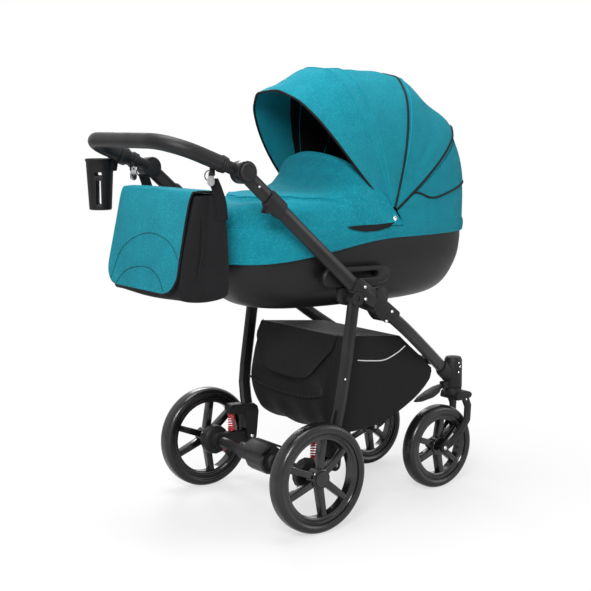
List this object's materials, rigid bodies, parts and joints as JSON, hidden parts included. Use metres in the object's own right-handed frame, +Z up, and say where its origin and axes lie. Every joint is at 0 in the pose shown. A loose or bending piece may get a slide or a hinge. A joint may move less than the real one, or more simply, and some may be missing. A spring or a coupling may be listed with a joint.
{
  "type": "pram",
  "caption": "Pram with a carrycot, folding hood, apron, sprung rear wheels, swivelling front wheels, tilting handle, bag, cup holder and basket.",
  "frame": {"origin": "on the ground, below the middle of the whole pram", "axes": "+X the way it travels, away from the handle, +Y to its left, +Z up"},
  "size_m": [1.1463, 0.6153, 1.247],
  "materials": {
    "frame": "black coated tube",
    "plastic": "black, satin moulded",
    "shell": "black, satin moulded shell",
    "leather": "black faux leather, stitched",
    "tyre": "smooth black tread",
    "rim": "glossy black",
    "teal": "teal melange cloth",
    "black_cloth": "black woven cloth",
    "red": "glossy red",
    "steel": "bare bright metal",
    "white_cloth": "white cotton cover"
  },
  "bodies": {
    "front_frame": {"fold_block_left": "plastic", "fold_block_right": "plastic", "front_leg_left": "frame", "front_leg_right": "frame", "caster_housing_left": "plastic", "caster_housing_right": "plastic", "front_cross_tube": "frame", "basket": "black_cloth"},
    "push_arms": {"push_arm_left": "frame", "push_arm_right": "frame"},
    "handle_unit": {"handle": "leather", "cup_holder": "plastic"},
    "bag_clips": {"bag_clip_left": "steel", "bag_clip_right": "steel"},
    "bag": {"bag_body": "black_cloth"},
    "bag_cover": {"bag_flap": "teal"},
    "rear_legs": {"rear_leg_left": "frame", "rear_leg_right": "frame", "leg_foot_left": "plastic", "leg_foot_right": "plastic", "rear_spring_left": "red", "rear_spring_right": "red"},
    "rear_axle_unit": {"rear_axle": "frame", "swing_arm_left": "plastic", "swing_arm_right": "plastic"},
    "brake": {"brake_pedal": "plastic"},
    "cot": {"cot_shell": "shell", "cot_band": "teal", "mattress": "white_cloth", "apron": "teal", "hood_panel_front": "teal", "hood_panel_middle": "teal", "hood_panel_rear": "teal", "hood_bow_rear": "plastic", "hood_bracket_left": "plastic", "hood_bracket_right": "plastic", "cot_plate_left": "plastic", "cot_plate_right": "plastic"},
    "hood_front": {"hood_visor": "teal", "hood_bow_front": "plastic"},
    "hood_middle": {"hood_bow_middle": "plastic"},
    "rear_wheel_left": {"rear_rim_left": "rim", "rear_tyre_left": "tyre"},
    "front_wheel_left": {"front_rim_left": "rim", "front_tyre_left": "tyre"},
    "caster_left": {"caster_fork_left": "plastic"},
    "swivel_lever_left": {"swivel_lock_left": "plastic"},
    "release_button_left": {"wheel_release_left": "red"},
    "handle_button_left": {"tilt_button_left": "plastic"},
    "fold_collar_left": {"fold_trigger_left": "plastic"},
    "rear_wheel_right": {"rear_rim_right": "rim", "rear_tyre_right": "tyre"},
    "front_wheel_right": {"front_rim_right": "rim", "front_tyre_right": "tyre"},
    "caster_right": {"caster_fork_right": "plastic"},
    "swivel_lever_right": {"swivel_lock_right": "plastic"},
    "release_button_right": {"wheel_release_right": "red"},
    "handle_button_right": {"tilt_button_right": "plastic"},
    "fold_collar_right": {"fold_trigger_right": "plastic"}
  },
  "joints": [
    {"name": "frame_fold", "type": "hinge", "parent": "front_frame", "child": "push_arms", "pos_m": [0.0987, 0, 0.618], "axis": [0, 1, 0], "range_deg": [0, 160]},
    {"name": "rear_leg_fold", "type": "hinge", "parent": "front_frame", "child": "rear_legs", "pos_m": [0.0137, 0, 0.613], "axis": [0, 1, 0], "range_deg": [-45, 0]},
    {"name": "suspension", "type": "hinge", "parent": "rear_legs", "child": "rear_axle_unit", "pos_m": [-0.0353, 0, 0.152], "axis": [0, 1, 0], "range_deg": [0, 10], "stiffness_Nm_per_rad": 60, "springref_deg": -17.19, "deforming": ["rear_spring_left", "rear_spring_right"]},
    {"name": "brake_press", "type": "hinge", "parent": "rear_axle_unit", "child": "brake", "pos_m": [-0.1413, 0, 0.14906], "axis": [0, 1, 0], "range_deg": [-14, 0], "stiffness_Nm_per_rad": 0.6, "springref_deg": 9.74},
    {"name": "handle_tilt", "type": "hinge", "parent": "push_arms", "child": "handle_unit", "pos_m": [-0.3463, 0, 0.96], "axis": [0, 1, 0], "range_deg": [-60, 60]},
    {"name": "bag_hang", "type": "hinge", "parent": "handle_unit", "child": "bag_clips", "pos_m": [-0.41735, 0, 0.95799], "axis": [0, 1, 0], "range_deg": [-60, 60]},
    {"name": "bag_unclip", "type": "slide", "parent": "bag_clips", "child": "bag", "axis": [-0.995, 0, 0.0995], "range_m": [0, 0.43284]},
    {"name": "bag_flap_lift", "type": "hinge", "parent": "bag", "child": "bag_cover", "pos_m": [-0.3753, 0, 0.902], "axis": [0, 1, 0], "range_deg": [0, 70]},
    {"name": "cot_lift", "type": "slide", "parent": "front_frame", "child": "cot", "axis": [0, 0, 1], "range_m": [0, 0.3]},
    {"name": "hood_fold", "type": "hinge", "parent": "cot", "child": "hood_front", "pos_m": [0.1827, 0, 0.834], "axis": [0, 1, 0], "range_deg": [0, 58], "deforming": ["hood_panel_front", "hood_panel_middle"]},
    {"name": "hood_bow_follow", "type": "hinge", "parent": "cot", "child": "hood_middle", "pos_m": [0.1827, 0, 0.834], "axis": [0, 1, 0], "range_deg": [0, 26.1]},
    {"name": "rear_wheel_spin_left", "type": "hinge", "parent": "rear_axle_unit", "child": "rear_wheel_left", "pos_m": [-0.1413, 0.275, 0.14906], "axis": [0, 1, 0], "continuous": true},
    {"name": "caster_swivel_left", "type": "hinge", "parent": "front_frame", "child": "caster_left", "pos_m": [0.4617, 0.1595, 0.2967], "axis": [0, 0, 1], "continuous": true},
    {"name": "front_wheel_spin_left", "type": "hinge", "parent": "caster_left", "child": "front_wheel_left", "pos_m": [0.3997, 0.1595, 0.12521], "axis": [0, 1, 0], "continuous": true},
    {"name": "swivel_lock_tip_left", "type": "hinge", "parent": "front_frame", "child": "swivel_lever_left", "pos_m": [0.4227, 0.1595, 0.308], "axis": [0, 1, 0], "range_deg": [-12, 0]},
    {"name": "wheel_release_press_left", "type": "slide", "parent": "rear_axle_unit", "child": "release_button_left", "axis": [0, 1, 0], "range_m": [0, 0.003], "stiffness_N_per_m": 150, "springref_m": -0.004},
    {"name": "tilt_button_press_left", "type": "slide", "parent": "push_arms", "child": "handle_button_left", "axis": [0, -1, 0], "range_m": [0, 0.004], "stiffness_N_per_m": 200, "springref_m": -0.005},
    {"name": "fold_trigger_slide_left", "type": "slide", "parent": "push_arms", "child": "fold_collar_left", "axis": [-0.7531, 0, 0.6579], "range_m": [0, 0.012], "stiffness_N_per_m": 300, "springref_m": -0.01},
    {"name": "rear_wheel_spin_right", "type": "hinge", "parent": "rear_axle_unit", "child": "rear_wheel_right", "pos_m": [-0.1413, -0.275, 0.14906], "axis": [0, 1, 0], "continuous": true},
    {"name": "caster_swivel_right", "type": "hinge", "parent": "front_frame", "child": "caster_right", "pos_m": [0.4617, -0.1595, 0.2967], "axis": [0, 0, 1], "continuous": true},
    {"name": "front_wheel_spin_right", "type": "hinge", "parent": "caster_right", "child": "front_wheel_right", "pos_m": [0.3997, -0.1595, 0.12521], "axis": [0, 1, 0], "continuous": true},
    {"name": "swivel_lock_tip_right", "type": "hinge", "parent": "front_frame", "child": "swivel_lever_right", "pos_m": [0.4227, -0.1595, 0.308], "axis": [0, 1, 0], "range_deg": [-12, 0]},
    {"name": "wheel_release_press_right", "type": "slide", "parent": "rear_axle_unit", "child": "release_button_right", "axis": [0, -1, 0], "range_m": [0, 0.003], "stiffness_N_per_m": 150, "springref_m": -0.004},
    {"name": "tilt_button_press_right", "type": "slide", "parent": "push_arms", "child": "handle_button_right", "axis": [0, 1, 0], "range_m": [0, 0.004], "stiffness_N_per_m": 200, "springref_m": -0.005},
    {"name": "fold_trigger_slide_right", "type": "slide", "parent": "push_arms", "child": "fold_collar_right", "axis": [-0.7531, 0, 0.6579], "range_m": [0, 0.012], "stiffness_N_per_m": 300, "springref_m": -0.01}
  ],
  "couplings": [
    {"joint": "rear_leg_fold", "follows": "frame_fold", "ratio": -0.28125},
    {"joint": "bag_unclip", "follows": "frame_fold", "m_per_rad": 0.155},
    {"joint": "bag_hang", "follows": "handle_tilt", "ratio": -1},
    {"joint": "hood_bow_follow", "follows": "hood_fold", "ratio": 0.45}
  ]
}
